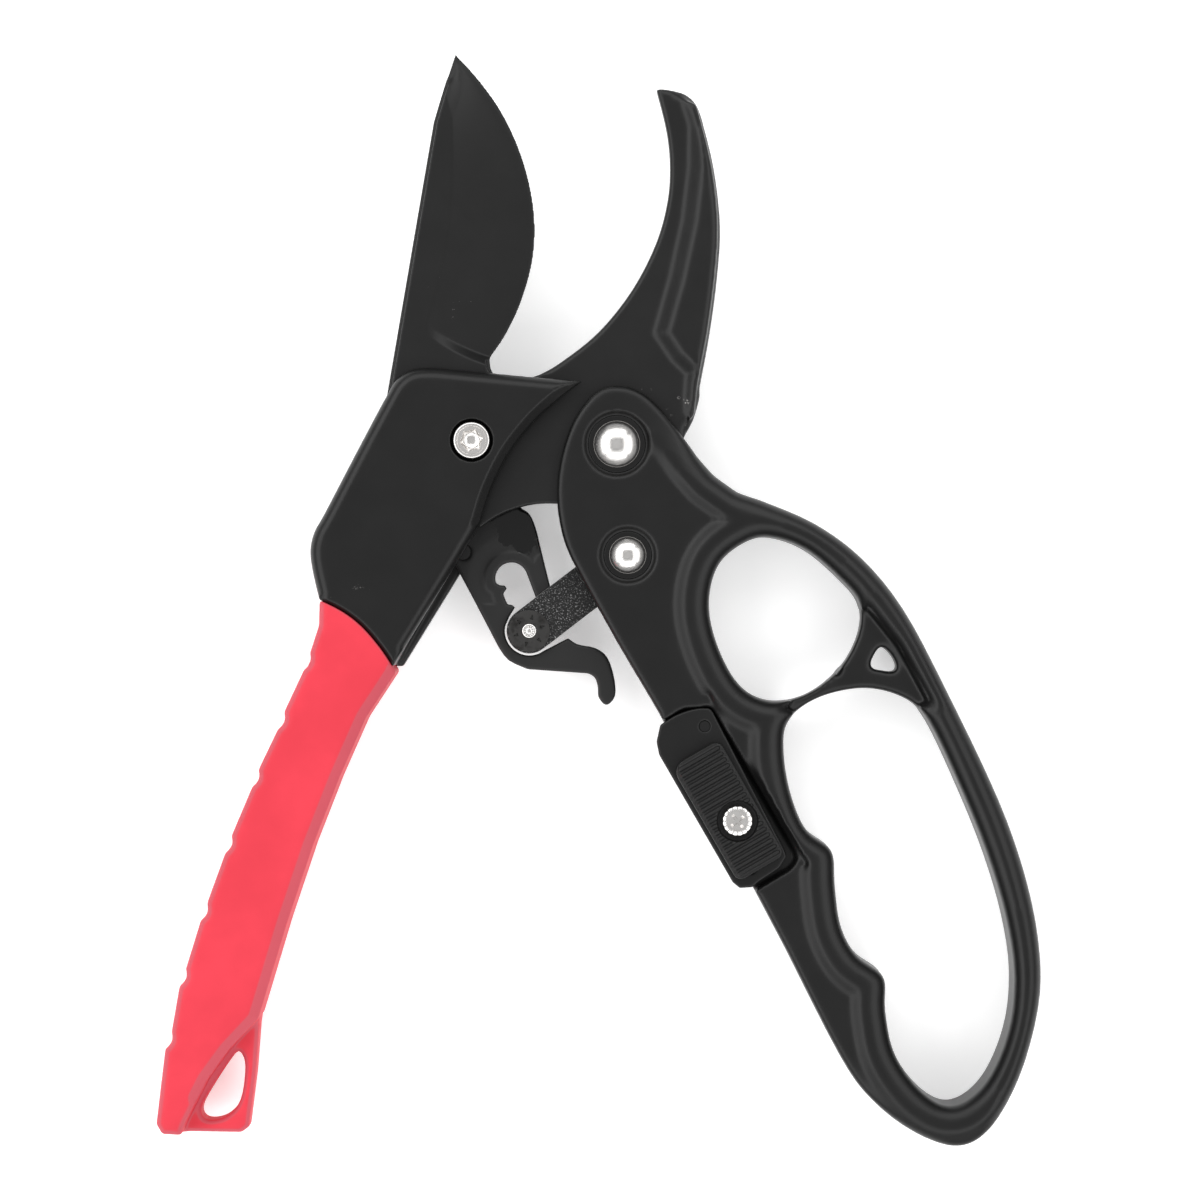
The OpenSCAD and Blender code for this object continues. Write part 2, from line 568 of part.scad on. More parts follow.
module link_bush() color("#b08d57") difference() {
    disc(P3, link_rivet_d + 2 * (run_fit + bush_wall / 2), link_back_z - 0.1, fork_front_z - 0.1);
    disc(P3, link_rivet_d + 2 * run_fit, 0, rim_z);
}

module ratchet_pin() color(steel)
    disc(P4, ratchet_pin_d, link_back_z, link_front_z + link_t + 0.6);

module pin_disc() color("#4a4b4d") difference() {
    disc(P4, 8, link_front_z + link_t, link_front_z + link_t + 0.5);
    disc(P4, ratchet_pin_d, 0, rim_z);
}

module link_spring() color(steel) {
    coil_z = link_back_z + link_t + 0.2;
    coil(P3, link_spring_r, link_wire_d, coil_z, spring_turns);
    translate([P3.x - link_spring_r, P3.y, coil_z + link_wire_d / 2]) rotate([90, 0, 0])
        cylinder(d = link_wire_d, h = link_spring_leg, $fn = 16);
}

fixed_handle();
blade();
grip_sleeve();
ratchet_plate();
pivot_screw();
pivot_nut();
thrust_washer();
blade_dowels();
ratchet_rivets();
hook();
pivot_bush();
hook_spring_peg();
loop_handle();
main_rivet();
main_rivet_washers();
link_rivet();
link_rivet_washers();
spring_spool();
main_spring();
lock_base();
lock_base_pins();
lock_detent_ball();
lock_pad();
lock_screw();
lock_catch();
link_front();
link_back();
link_bush();
ratchet_pin();
pin_disc();
link_spring();
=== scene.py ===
"""Looks of the ratchet pruning shears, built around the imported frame. Sizes in the shape code are in mm."""
import json
import math

import bmesh
import bpy
import numpy as np
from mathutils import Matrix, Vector
from mathutils.bvhtree import BVHTree
from mathutils.kdtree import KDTree


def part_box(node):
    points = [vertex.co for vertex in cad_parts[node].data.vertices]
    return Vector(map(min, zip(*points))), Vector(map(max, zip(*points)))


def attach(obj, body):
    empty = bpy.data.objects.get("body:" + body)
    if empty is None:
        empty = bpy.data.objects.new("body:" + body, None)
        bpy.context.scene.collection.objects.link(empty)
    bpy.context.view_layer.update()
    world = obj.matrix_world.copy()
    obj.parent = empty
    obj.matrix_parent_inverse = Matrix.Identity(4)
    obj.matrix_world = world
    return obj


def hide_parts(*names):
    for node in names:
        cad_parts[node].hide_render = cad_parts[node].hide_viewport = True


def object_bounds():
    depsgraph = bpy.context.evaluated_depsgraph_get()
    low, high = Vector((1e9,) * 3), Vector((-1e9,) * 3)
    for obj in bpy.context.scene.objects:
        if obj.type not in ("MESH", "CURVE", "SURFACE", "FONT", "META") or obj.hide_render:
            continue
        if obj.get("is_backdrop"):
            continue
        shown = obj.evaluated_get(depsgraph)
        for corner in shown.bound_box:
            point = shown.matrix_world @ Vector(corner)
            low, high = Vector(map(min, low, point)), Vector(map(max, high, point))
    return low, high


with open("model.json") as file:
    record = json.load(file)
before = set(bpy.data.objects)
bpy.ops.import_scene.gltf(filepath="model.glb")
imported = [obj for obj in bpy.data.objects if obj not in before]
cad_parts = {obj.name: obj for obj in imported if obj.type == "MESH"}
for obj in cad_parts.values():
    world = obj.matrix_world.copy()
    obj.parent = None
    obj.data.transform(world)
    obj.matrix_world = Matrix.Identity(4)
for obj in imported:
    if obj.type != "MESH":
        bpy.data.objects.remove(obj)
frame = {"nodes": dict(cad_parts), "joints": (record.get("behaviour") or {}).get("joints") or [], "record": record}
cad_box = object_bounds()

MM = 0.001
COARSER = 1.0
BODY = {node: body for body, nodes in frame["record"]["behaviour"]["bodies"].items() for node in nodes}
SLOT = {part["node"]: part["material_slot"] for part in frame["record"]["subparts"]}
JOINT = {joint["name"]: joint for joint in frame["joints"]}


def low_mm(node):
    return np.array(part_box(node)[0]) / MM


def high_mm(node):
    return np.array(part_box(node)[1]) / MM


def middle_mm(node):
    return (low_mm(node) + high_mm(node)) / 2


# ---------------------------------------------------------------- shader graphs

class Value:
    """A socket that numbers and other sockets can be added to, multiplied by and so on."""

    def __init__(self, graph, socket):
        self.graph = graph
        self.socket = socket

    def _math(self, operation, first, second=None):
        sockets = {0: first} if second is None else {0: first, 1: second}
        return self.graph.add("ShaderNodeMath", {"operation": operation}, sockets)["Value"]

    def __add__(self, other):
        return self._math("ADD", self, other)

    def __radd__(self, other):
        return self._math("ADD", other, self)

    def __sub__(self, other):
        return self._math("SUBTRACT", self, other)

    def __rsub__(self, other):
        return self._math("SUBTRACT", other, self)

    def __mul__(self, other):
        return self._math("MULTIPLY", self, other)

    def __abs__(self):
        return self._math("ABSOLUTE", self)

    def step(self, low, high):
        """Rises smoothly from 0 at low to 1 at high."""
        settings = {"interpolation_type": "SMOOTHSTEP"}
        sockets = {0: self, 1: low, 2: high, 3: 0.0, 4: 1.0}
        return self.graph.add("ShaderNodeMapRange", settings, sockets)["Result"]


class Outputs:
    """The outputs of one node, by name."""

    def __init__(self, graph, node):
        self.graph = graph
        self.node = node

    def __getitem__(self, name):
        return Value(self.graph, self.node.outputs[name])


class Graph:
    """One material's node graph around a Principled shader."""

    def __init__(self, name, **constants):
        self.material = bpy.data.materials.new(name)
        self.material.use_nodes = True
        self.tree = self.material.node_tree
        self.shader = self.tree.nodes["Principled BSDF"]
        for socket, value in constants.items():
            self.shader.inputs[socket.replace("_", " ").title().replace("Ior", "IOR")].default_value = value

    def add(self, kind, settings=None, sockets=None):
        node = self.tree.nodes.new(kind)
        for key, value in (settings or {}).items():
            setattr(node, key, value)
        for key, value in (sockets or {}).items():
            self.feed(node.inputs[key], value)
        return Outputs(self, node)

    def feed(self, socket, value):
        if isinstance(value, Value):
            self.tree.links.new(value.socket, socket)
        else:
            socket.default_value = value

    def place(self, stretch=(1, 1, 1)):
        """Object coordinates in millimetres, stretched along an axis for brushed finishes."""
        where = self.add("ShaderNodeTexCoord")["Object"]
        sockets = {"Vector": where, "Scale": [s / MM for s in stretch]}
        return self.add("ShaderNodeMapping", {"vector_type": "POINT"}, sockets)["Vector"]

    def noise(self, grain_mm, detail=3.0, rough=0.55, stretch=(1, 1, 1)):
        sockets = {"Vector": self.place(stretch), "Scale": 1 / grain_mm, "Detail": detail, "Roughness": rough}
        return self.add("ShaderNodeTexNoise", {}, sockets)["Fac"]

    def cells(self, grain_mm):
        sockets = {"Vector": self.place(), "Scale": 1 / grain_mm}
        return self.add("ShaderNodeTexVoronoi", {}, sockets)["Distance"]

    def blend(self, factor, first, second):
        settings = {"data_type": "RGBA"}
        return self.add("ShaderNodeMix", settings, {0: factor, 6: first, 7: second}).socket_at(2)

    def vector_math(self, operation, sockets):
        return self.add("ShaderNodeVectorMath", {"operation": operation}, sockets)

    def distance_mm(self, point):
        """Distance in plan from a point of the frame, in millimetres."""
        offset = self.vector_math("SUBTRACT", {0: self.place(), 1: point})["Vector"]
        flat = self.vector_math("MULTIPLY", {0: offset, 1: (1, 1, 0)})["Vector"]
        return self.vector_math("LENGTH", {0: flat})["Value"]

    def upward(self):
        """How far the surface faces up or down, from 0 on a side wall to 1."""
        normal = self.add("ShaderNodeNewGeometry")["Normal"]
        return abs(self.add("ShaderNodeSeparateXYZ", {}, {0: normal})["Z"])

    def bump(self, height, strength, distance_mm):
        sockets = {"Height": height, "Strength": strength, "Distance": distance_mm * MM}
        return self.add("ShaderNodeBump", {}, sockets)["Normal"]

    def finish(self, **links):
        for socket, value in links.items():
            self.feed(self.shader.inputs[socket.replace("_", " ").title()], value)
        return self.material


def _socket_at(self, index):
    return Value(self.graph, self.node.outputs[index])


Outputs.socket_at = _socket_at


def grey(level, warmth=0.0):
    return (level * (1 + warmth), level, level * (1 - warmth), 1)


# ---------------------------------------------------------------- materials

def black_coat(name, shade, rough, peel, specks):
    """Baked black coating: faint mottling, orange peel, and a few nicks down to bright metal."""
    g = Graph(name, specular_ior_level=0.3)
    mottle = g.noise(9.0, 4.0)
    peel_height = g.noise(0.55, 2.0)
    grit = g.noise(0.16, 2.0)
    nick_field = g.noise(1.3, 5.0, 0.7)
    nick = (nick_field * g.noise(17.0, 2.0)).step(specks, specks + 0.02)
    colour = g.blend(mottle.step(0.25, 0.8), grey(shade * 0.88), grey(shade * 1.14))
    colour = g.blend(nick * 0.7, colour, grey(0.28, 0.03))
    normal = g.bump(peel_height + grit * 0.35, peel, 0.05)
    return g.finish(base_color=colour, roughness=rough + (mottle - 0.5) * 0.06 - nick * 0.12,
                    metallic=nick * 0.8, normal=normal)


def gloss_paint():
    """Satin black paint on the ratchet plate, with a darker, glossier ragged patch at its upper end, and a painted
    highlight on its edges.
    """
    g = Graph("gloss_paint", specular_ior_level=0.35)
    pooled = g.noise(2.6, 3.0)
    fine = g.noise(0.5, 2.0)
    # a darker, glossier ragged patch round a point near the plate's upper end
    patch_centre, patch_radius = (9.0, -16.5, 0), 4.6
    ragged = (g.noise(4.0, 3.0, 0.5) - 0.5) * 9
    dark_glossy_patch = 1 - (g.distance_mm(patch_centre) + ragged).step(patch_radius, patch_radius + 0.6)
    # painted highlight: faces that turn away from straight up are lifted towards grey
    edge = 1 - g.upward().step(0.55, 0.9)
    colour = g.blend(dark_glossy_patch, grey(0.009), grey(0.0025))
    colour = g.blend(edge * 0.35, colour, grey(0.05))
    return g.finish(base_color=colour, roughness=0.4 + pooled * 0.1 - dark_glossy_patch * 0.34,
                    normal=g.bump(pooled + fine * 0.2 + dark_glossy_patch * 0.4, 0.35, 0.08))


def speckled_link():
    """Gritty black face with bright sheared edges."""
    g = Graph("speckled_link", specular_ior_level=0.28)
    grit = g.noise(0.3, 3.0, 0.75)
    pits = g.cells(0.42)
    edge = 1 - g.upward().step(0.45, 0.85)
    speck = grit.step(0.56, 0.66)
    colour = g.blend(speck, grey(0.006), grey(0.24))
    colour = g.blend(edge, colour, grey(0.62, 0.02))
    return g.finish(base_color=colour, metallic=edge * 0.95 + speck * 0.2, roughness=0.45 - edge * 0.14,
                    normal=g.bump(grit + pits * 0.4, 0.75, 0.09))


def red_grip():
    """Soft matte red moulding with a fine leather-like skin, and a painted sheen, a paler greyish pink, where its
    edges turn away.
    """
    g = Graph("red_grip", specular_ior_level=0.35)
    cloud = g.noise(14.0, 3.0)
    skin = g.noise(0.35, 3.0, 0.6)
    facing = g.upward()
    # painted sheen: faces that tilt away from straight up are blended towards a paler greyish pink
    painted_sheen = facing.step(0.3, 0.6) * (1 - facing.step(0.8, 0.97))
    colour = g.blend(cloud.step(0.25, 0.8), (0.6, 0.026, 0.046, 1), (0.68, 0.034, 0.058, 1))
    colour = g.blend(painted_sheen * 0.55, colour, (0.46, 0.1, 0.13, 1))
    return g.finish(base_color=colour, roughness=0.5 + skin * 0.14, normal=g.bump(skin, 0.25, 0.04))


def bright_nickel():
    """Plated steel with fine scuffs and a few pits."""
    level, rough = 0.76, 0.14
    g = Graph("bright_nickel", metallic=1.0)
    scuffs = g.noise(0.9, 5.0, 0.7, stretch=(1, 6, 1))
    haze = g.noise(2.2, 2.0)
    pit = g.noise(0.28, 2.0).step(0.69, 0.76)
    colour = g.blend(haze, grey(level, 0.015), grey(level * 0.9, 0.03))
    colour = g.blend(pit * 0.5, colour, grey(level * 0.45, 0.06))
    return g.finish(base_color=colour, roughness=rough + scuffs * 0.14 + pit * 0.2,
                    normal=g.bump(scuffs + pit * -0.6 + haze, 0.3, 0.05))


def dark_disc():
    """Burnished dark steel with turning marks and staking dirt."""
    g = Graph("dark_disc", metallic=0.85)
    smear = g.noise(0.8, 5.0, 0.65)
    dirt = g.noise(2.0, 3.0).step(0.45, 0.7)
    colour = g.blend(dirt, grey(0.05, 0.02), grey(0.022, 0.04))
    return g.finish(base_color=colour, roughness=0.34 + smear * 0.2, normal=g.bump(smear, 0.3, 0.05))


def plain_metal(name, colour, rough):
    """Hidden bushes, pins and wire: drawn metal with a light brushed grain."""
    g = Graph(name, metallic=1.0)
    grain = g.noise(0.5, 4.0, 0.6, stretch=(1, 1, 8))
    darker = tuple(c * 0.72 for c in colour[:3]) + (1,)
    return g.finish(base_color=g.blend(grain, darker, colour), roughness=rough + grain * 0.12,
                    normal=g.bump(grain, 0.15, 0.03))


def pale_floor():
    g = Graph("pale_floor", emission_color=(1, 1, 1, 1), emission_strength=0.35)
    soft = g.noise(160.0, 2.0)
    return g.finish(base_color=g.blend(soft, grey(0.9), grey(0.93)), roughness=0.85 + soft * 0.05)


MATERIALS = {
    "black_casting": black_coat("black_casting", 0.0052, 0.36, 0.16, 0.475),
    "black_blade": black_coat("black_blade", 0.0055, 0.4, 0.1, 0.478),
    "black_hook": black_coat("black_hook", 0.007, 0.35, 0.14, 0.445),
    "lock_plastic": black_coat("lock_ribbed", 0.007, 0.45, 0.5, 0.6),
    "black_washer": black_coat("black_washer", 0.005, 0.25, 0.1, 0.6),
    "gloss_plate": gloss_paint(),
    "rough_link": speckled_link(),
    "red_grip": red_grip(),
    "bright_nickel": bright_nickel(),
    "dark_disc": dark_disc(),
    "bronze_bush": plain_metal("bronze_bush", (0.6, 0.4, 0.18, 1), 0.3),
    "spring_steel": plain_metal("spring_steel", (0.62, 0.62, 0.62, 1), 0.28),
    "hidden_steel": plain_metal("hidden_steel", (0.55, 0.55, 0.57, 1), 0.34),
}


# ---------------------------------------------------------------- mesh tools

def coordinates(mesh):
    flat = np.empty(len(mesh.vertices) * 3)
    mesh.vertices.foreach_get("co", flat)
    return flat.reshape(-1, 3) / MM


def set_coordinates(mesh, points):
    mesh.vertices.foreach_set("co", (points * MM).ravel())
    mesh.update()


def with_modifiers(mesh, *modifiers):
    """The mesh after some modifiers, each a (type, settings) pair."""
    holder = bpy.data.objects.new("holder", mesh)
    bpy.context.scene.collection.objects.link(holder)
    for kind, settings in modifiers:
        modifier = holder.modifiers.new(kind, kind)
        for key, value in settings.items():
            setattr(modifier, key, value)
    result = bpy.data.meshes.new_from_object(holder.evaluated_get(bpy.context.evaluated_depsgraph_get()))
    bpy.data.objects.remove(holder)
    return result


def remeshed(mesh, voxel):
    return with_modifiers(mesh, ("REMESH", {"mode": "VOXEL", "voxel_size": voxel * COARSER * MM}))


def crossings(node, z):
    """Points about 0.15 mm apart where each triangle of the node crosses a height."""
    mesh = frame["nodes"][node].data
    mesh.calc_loop_triangles()
    points = coordinates(mesh)
    corners = np.array([t.vertices[:] for t in mesh.loop_triangles])
    for triangle in points[corners]:
        above = triangle[:, 2] > z
        if above.all() or not above.any():
            continue
        ends = []
        for i, j in ((0, 1), (1, 2), (2, 0)):
            if above[i] != above[j]:
                share = (z - triangle[i, 2]) / (triangle[j, 2] - triangle[i, 2])
                ends.append(triangle[i] + share * (triangle[j] - triangle[i]))
        count = max(2, int(np.linalg.norm(ends[1] - ends[0]) / 0.15) + 1)
        yield np.array([ends[0] + (ends[1] - ends[0]) * t for t in np.linspace(0, 1, count)])[:, :2]


def section(node, z):
    """All points of the node's outlines at a height."""
    return np.concatenate(list(crossings(node, z)))


def loops(node, z):
    """The node's closed outlines at a height, longest first."""
    pieces = list(crossings(node, z))
    home = {}
    groups = {}
    for index, piece in enumerate(pieces):
        keys = [tuple(np.round(end, 2)) for end in (piece[0], piece[-1])]
        merged = [index]
        for old in {home[key] for key in keys if key in home}:
            merged += groups.pop(old)
        groups[index] = merged
        for member in merged:
            for end in (pieces[member][0], pieces[member][-1]):
                home[tuple(np.round(end, 2))] = index
    found = [np.concatenate([pieces[member] for member in group]) for group in groups.values()]
    return sorted(found, key=len, reverse=True)


def distance_to(points, outline):
    """Distance in plan from each point to the nearest outline point."""
    tree = KDTree(len(outline))
    for i, (x, y) in enumerate(outline):
        tree.insert((x, y, 0), i)
    tree.balance()
    return np.array([tree.find((p[0], p[1], 0))[2] for p in points])


def surface_height(node, points, top=True, reach=0.5):
    """The node's highest (or lowest) surface at each point, widened by reach in plan."""
    data = frame["nodes"][node].data
    data.calc_loop_triangles()
    verts = [tuple(p) for p in coordinates(data)]
    tree = BVHTree.FromPolygons(verts, [t.vertices[:] for t in data.loop_triangles])
    start, way = (100, (0, 0, -1)) if top else (-100, (0, 0, 1))
    worst = -1e3 if top else 1e3
    heights = np.full(len(points), worst)
    for dx, dy in ((0, 0), (reach, 0), (-reach, 0), (0, reach), (0, -reach)):
        hits = [tree.ray_cast((p[0] + dx, p[1] + dy, start), way)[0] for p in points]
        z = np.array([worst if hit is None else hit.z for hit in hits])
        heights = np.maximum(heights, z) if top else np.minimum(heights, z)
    return heights


def edge_drop(distance, radius):
    """How far a rounded edge of that radius falls below its plane at a distance from the rim."""
    inner = radius - np.minimum(distance, radius)
    return radius - np.sqrt(np.maximum(radius ** 2 - inner ** 2, 0))


def smooth(share):
    """Eases a share between 0 and 1, flat at both ends."""
    share = np.clip(share, 0, 1)
    return share * share * (3 - 2 * share)


def round_over(points, heights, level, radius, outline, top=True):
    """Rounds the edge of the surface at one level, where the outline is its rim."""
    same_level = 0.7
    here = np.abs(heights - level) < same_level
    drop = edge_drop(distance_to(points[here], outline), radius)
    z = points[here, 2]
    if top:
        points[here, 2] = np.minimum(z, level - drop)
    else:
        points[here, 2] = np.maximum(z, level + drop)
    return points


def relax(mesh, rounds, weight=None):
    """Averages each vertex with its neighbours, as tumbling and paint soften a casting."""
    points = coordinates(mesh)
    edges = np.array([e.vertices[:] for e in mesh.edges])
    count = np.bincount(edges.ravel(), minlength=len(points))[:, None]
    pull = 0.5 if weight is None else 0.5 * weight[:, None]
    for _ in range(rounds):
        total = np.stack([np.bincount(edges[:, 0], points[edges[:, 1], k], len(points))
                          + np.bincount(edges[:, 1], points[edges[:, 0], k], len(points))
                          for k in range(3)], axis=1)
        points = points + pull * (total / count - points)
    set_coordinates(mesh, points)


def show(name, mesh, node, sharp=None):
    """Makes the mesh a piece that rides with, and stands for, its CAD node."""
    piece = bpy.data.objects.new(name, mesh)
    bpy.context.scene.collection.objects.link(piece)
    mesh.materials.clear()
    mesh.materials.append(MATERIALS[SLOT[node]])
    mesh.shade_smooth()
    if sharp:
        mesh.set_sharp_from_angle(angle=math.radians(sharp))
    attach(piece, BODY[node])
    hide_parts(node)
    SLOT[node]


def skin(node, voxel, rounds, shape=None, weight=None):
    """A softened copy of a CAD node: remeshed evenly, shaped, remeshed again and relaxed."""
    mesh = remeshed(frame["nodes"][node].data.copy(), voxel)
    if shape:
        set_coordinates(mesh, shape(coordinates(mesh)))
        mesh = remeshed(mesh, voxel)
    relax(mesh, rounds, weight(coordinates(mesh)) if weight else None)
    return mesh


def lathe(profile, at, segments=96):
    """A solid of revolution about a vertical axis, from (radius, height) pairs between two at radius 0."""
    bm = bmesh.new()
    rings = []
    for radius, z in profile:
        if radius == 0:
            rings.append([bm.verts.new((at[0], at[1], z))] * segments)
            continue
        turn = [2 * math.pi * i / segments for i in range(segments)]
        rings.append([bm.verts.new((at[0] + radius * math.cos(a), at[1] + radius * math.sin(a), z))
                      for a in turn])
    for lower, upper in zip(rings, rings[1:]):
        for i in range(segments):
            j = (i + 1) % segments
            corners = list(dict.fromkeys([lower[i], lower[j], upper[j], upper[i]]))
            if len(corners) > 2:
                bm.faces.new(corners)
    bmesh.ops.recalc_face_normals(bm, faces=bm.faces)
    bmesh.ops.scale(bm, vec=(MM, MM, MM), verts=bm.verts)
    mesh = bpy.data.meshes.new("lathe")
    bm.to_mesh(mesh)
    bm.free()
    return mesh


def ring_profile(inner, outer, low, high, soft):
    """The closed section of a flat ring with rounded edges, as (radius, height) pairs."""
    corners = [(inner + soft, low + soft, 180, 270), (outer - soft, low + soft, 270, 360),
               (outer - soft, high - soft, 0, 90), (inner + soft, high - soft, 90, 180)]
    return [(r + soft * math.cos(math.radians(a)), z + soft * math.sin(math.radians(a)))
            for r, z, start, end in corners for a in np.linspace(start, end, 5)]


def hoop(profile, at, segments=96):
    """A ring of revolution from a closed section."""
    bm = bmesh.new()
    rings = []
    for i in range(segments):
        a = 2 * math.pi * i / segments
        rings.append([bm.verts.new(((at[0] + r * math.cos(a)) * MM, (at[1] + r * math.sin(a)) * MM, z * MM))
                      for r, z in profile])
    for i in range(segments):
        here, there = rings[i], rings[(i + 1) % segments]
        for k in range(len(profile)):
            bm.faces.new((here[k], there[k], there[k - 1], here[k - 1]))
    bmesh.ops.recalc_face_normals(bm, faces=bm.faces)
    mesh = bpy.data.meshes.new("hoop")
    bm.to_mesh(mesh)
    bm.free()
    return mesh


def arc_profile(centre, radius, start, end, count=8):
    """Points along an arc between two angles in degrees."""
    return [(centre[0] + radius * math.cos(math.radians(a)), centre[1] + radius * math.sin(math.radians(a)))
            for a in np.linspace(start, end, count)]


def cut(mesh, cutter):
    """The mesh with the cutter's shape taken out."""
    tool = bpy.data.objects.new("tool", cutter)
    bpy.context.scene.collection.objects.link(tool)
    result = with_modifiers(mesh, ("BOOLEAN", {"object": tool, "operation": "DIFFERENCE", "solver": "EXACT"}))
    bpy.data.objects.remove(tool)
    return result


def prism(outline, low, high, taper):
    """An upright prism from a counter-clockwise outline, narrowed towards the bottom by taper."""
    bm = bmesh.new()
    centre = np.mean(outline, axis=0)
    under = [bm.verts.new((*((centre + (np.array(p) - centre) * taper) * MM), low * MM)) for p in outline]
    over = [bm.verts.new((*(np.array(p) * MM), high * MM)) for p in outline]
    bm.faces.new(under[::-1])
    bm.faces.new(over)
    for i in range(len(outline)):
        j = (i + 1) % len(outline)
        bm.faces.new((under[i], under[j], over[j], over[i]))
    mesh = bpy.data.meshes.new("prism")
    bm.to_mesh(mesh)
    bm.free()
    return mesh


def wire(points, diameter, sides=10):
    """A round wire along some points, with closed ends."""
    bm = bmesh.new()
    path = [Vector(p) for p in points]
    rings = []
    for i, p in enumerate(path):
        along = (path[min(i + 1, len(path) - 1)] - path[max(i - 1, 0)]).normalized()
        across = along.cross(Vector((0, 0, 1)))
        across = across.normalized() if across.length > 1e-3 else Vector((1, 0, 0))
        up = across.cross(along)
        turn = [2 * math.pi * k / sides for k in range(sides)]
        rings.append([bm.verts.new((p + (across * math.cos(a) + up * math.sin(a)) * diameter / 2) * MM)
                      for a in turn])
    for here, there in zip(rings, rings[1:]):
        for k in range(sides):
            bm.faces.new((here[k - 1], here[k], there[k], there[k - 1]))
    bm.faces.new(rings[0])
    bm.faces.new(rings[-1][::-1])
    bmesh.ops.recalc_face_normals(bm, faces=bm.faces)
    mesh = bpy.data.meshes.new("wire")
    bm.to_mesh(mesh)
    bm.free()
    return mesh


# ---------------------------------------------------------------- places taken from the frame

main_pivot = np.zeros(2)
handle_pivot = middle_mm("main_rivet")[:2]
link_pivot = middle_mm("link_rivet")[:2]
pin_at = middle_mm("ratchet_pin")[:2]
screw_at = middle_mm("lock_screw")[:2]
front_z = high_mm("fixed_handle")[2]
ear_low_z = high_mm("blade")[2] + 0.1
panel_z = ear_low_z - 0.2
rim_z = high_mm("loop_handle")[2]
web_z = high_mm("pivot_bush")[2]
slide = JOINT["lock_slide"]["axis"]
lock_up = np.array(slide[:2])
lock_across = np.array([slide[1], -slide[0]])


def far_from(points, centre, radius):
    """Which points lie outside a circle in plan."""
    return np.linalg.norm(points - centre, axis=1) > radius


def in_lock_well(points):
    """Which points lie in the well that the lock slides in, measured from its screw."""
    across = (points - screw_at) @ lock_across
    along = (points - screw_at) @ lock_up
    outer_side, inner_side, foot, head = -7.5, 7.6, -14, 24
    return (across > outer_side) & (across < inner_side) & (along > foot) & (along < head)


# ---------------------------------------------------------------- fixed handle and blade

def fixed_handle_piece():
    """The housing: broad rounded outer edge, crisp arc towards the hook."""
    grip_start_y, arc_end_y = -43.2, -16
    arc_chamfer, arc_slope = 1.8, 1.0
    soft_radius, right_radius, back_radius = 2.5, 2.1, 1.8
    outline = section("fixed_handle", front_z - 0.9)
    outline = outline[far_from(outline, main_pivot, 6) & (outline[:, 1] > grip_start_y)]
    bearing = np.degrees(np.arctan2(outline[:, 1], outline[:, 0])) % 360
    soft_rim = outline[(bearing > 31) & (bearing < 225)]
    crisp_rim = outline[(bearing <= 28) | (bearing > 252)]
    right_rim = crisp_rim[crisp_rim[:, 1] < arc_end_y]
    arc_rim = crisp_rim[crisp_rim[:, 1] >= arc_end_y]

    def shape(points):
        tops = surface_height("fixed_handle", points)
        here = tops > front_z - 1.2
        for rim, radius in ((soft_rim, soft_radius), (right_rim, right_radius)):
            drop = edge_drop(distance_to(points[here], rim), radius)
            points[here, 2] = np.minimum(points[here, 2], front_z - drop)
        slope = np.clip(arc_chamfer - distance_to(points[here], arc_rim), 0, None) * arc_slope
        points[here, 2] = np.minimum(points[here, 2], front_z - slope)
        low = points[:, 2] < 3
        rise = edge_drop(distance_to(points[low], soft_rim), back_radius)
        points[low, 2] = np.maximum(points[low, 2], 0.5 + rise)
        return points

    def weight(points):
        return np.where(far_from(points[:, :2], main_pivot, 5), 1.0, 0.15)

    show("housing", skin("fixed_handle", 0.26, 5, shape, weight), "fixed_handle")


def blade_piece():
    """Hollow-ground blade: honed bevel, plunge line above the heel, and a narrow bevel along the spine."""
    low, high = low_mm("blade")[2], high_mm("blade")[2]
    full = high - low
    outline = section("blade", low + 0.3)
    foot = np.array([-16.2, 8.6])
    spine_way = np.array([-7.3, 60.6]) - foot
    spine_way = spine_way / np.linalg.norm(spine_way)
    side = np.array([spine_way[1], -spine_way[0]])
    off_spine = (outline - foot) @ side
    edge = outline[(off_spine > 1.2) & (outline[:, 1] > 16)]
    plunge_centre, plunge_radius, plunge_width = np.array([14.5, 52.0]), 39.2, 1.7
    edge_t, honed_width, honed_rise = 0.3, 0.75, 0.16
    bevel_width, bevel_drop = 0.8, 0.6

    def shape(points):
        d_edge = distance_to(points, edge)
        d_spine = (points[:, :2] - foot) @ side
        below = np.linalg.norm(points[:, :2] - plunge_centre, axis=1) - plunge_radius
        honed = np.clip(d_edge / honed_width, 0, 1)
        width = np.maximum(d_edge + np.maximum(d_spine, 0), 1)
        ground_width = np.maximum(0.72 * width - honed_width, 0.5)
        hollow = np.clip((d_edge - honed_width) / ground_width, 0, 1) ** 1.4
        ground = edge_t + honed_rise * honed + (full - edge_t - honed_rise) * hollow
        plunge = np.clip((below + 1.5) / plunge_width, 0, 1)
        top = ground * (1 - plunge) + full * plunge
        spine_bevel = np.clip((bevel_width - d_spine) / bevel_width, 0, 1)
        spine_bevel = spine_bevel * np.clip((57 - points[:, 1]) / 6, 0, 1)
        top = top - bevel_drop * spine_bevel * np.clip((points[:, 1] - 9) / 2, 0, 1)
        upper = points[:, 2] > low + 0.2
        points[upper, 2] = np.minimum(points[upper, 2], low + np.maximum(top[upper], edge_t))
        return points

    def weight(points):
        return np.where(distance_to(points, edge) < 2.0, 0.25, 1.0)

    show("blade_ground", skin("blade", 0.18, 3, shape, weight), "blade")


